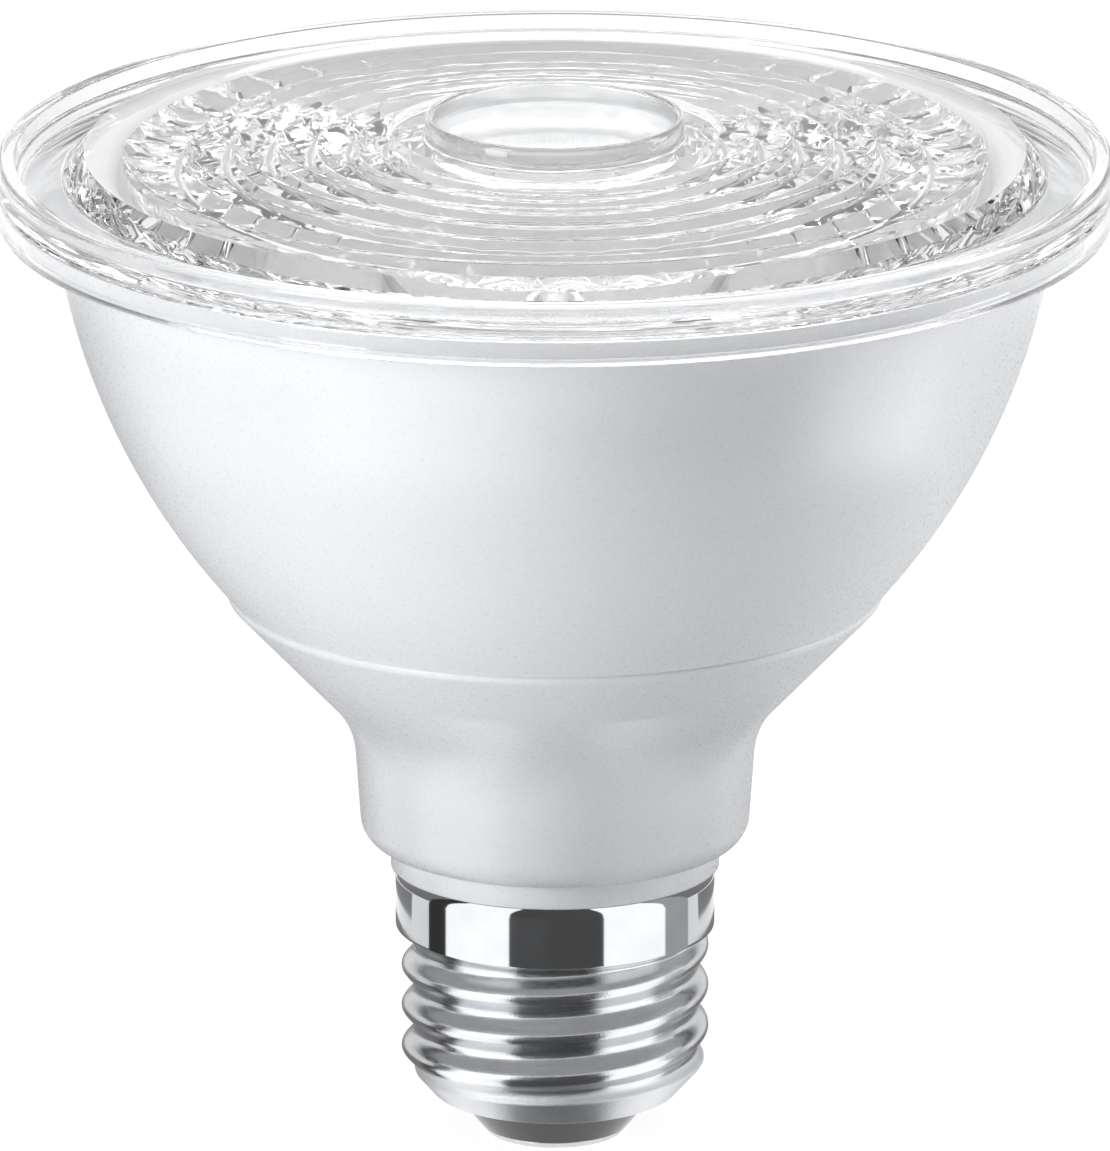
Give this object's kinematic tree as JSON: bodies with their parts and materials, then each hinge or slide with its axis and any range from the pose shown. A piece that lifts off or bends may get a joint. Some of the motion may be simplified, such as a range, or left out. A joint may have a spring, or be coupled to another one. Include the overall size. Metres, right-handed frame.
{
  "type": "led reflector lamp",
  "caption": "Reflector lamp with a clear faceted prism lens over a white bowl and neck, on a threaded screw cap; screws into a lampholder and throws a beam.",
  "frame": {"origin": "middle of the flat underside of the centre contact, on the lamp's axis", "axes": "+Z along the lamp's axis from the contact to the lens; the driver board lies in the XZ plane"},
  "size_m": [0.095, 0.095, 0.0905],
  "materials": {
    "clear_plastic": "clear moulded plastic, polished",
    "white_plastic": "white moulded plastic, satin",
    "white_coat": "white powder coat on pressed aluminium",
    "plated_sheet": "nickel plate on rolled brass sheet",
    "dark_glass": "dark moulded glass, glossy",
    "plated_contact": "nickel plate, lightly brushed",
    "white_mask": "white solder mask on aluminium board",
    "phosphor": "silicone filled with yellow phosphor, smooth",
    "screw_steel": "zinc plate",
    "green_board": "green solder mask on glass-fibre board",
    "ferrite": "sintered ferrite, matt",
    "bobbin_plastic": "black moulded plastic",
    "winding_tape": "yellow polyester tape over copper wire",
    "can_sleeve": "dark shrink sleeve over an aluminium can",
    "film_case": "amber moulded case",
    "chip_epoxy": "black epoxy",
    "fuse_lacquer": "green lacquer over ceramic",
    "red_sleeve": "red insulation",
    "black_sleeve": "black insulation",
    "white_sleeve": "white insulation"
  },
  "bodies": {
    "root": {"front_lens": "clear_plastic", "upper_housing": "white_plastic", "lower_housing": "white_plastic", "screw_shell": "plated_sheet", "base_insulator": "dark_glass", "centre_contact": "plated_contact", "heat_spreader": "white_coat", "led_board": "white_mask", "led_emitter": "phosphor", "board_screws": "screw_steel", "spreader_screws": "screw_steel", "driver_board": "green_board", "transformer_core": "ferrite", "transformer_bobbin": "bobbin_plastic", "transformer_winding": "winding_tape", "bulk_capacitor": "can_sleeve", "output_capacitor": "can_sleeve", "film_capacitor": "film_case", "line_choke": "ferrite", "bridge_rectifier": "chip_epoxy", "controller_chip": "chip_epoxy", "fuse_resistor": "fuse_lacquer", "led_lead_positive": "red_sleeve", "led_lead_negative": "black_sleeve", "line_lead": "white_sleeve", "neutral_lead": "black_sleeve"}
  },
  "joints": []
}
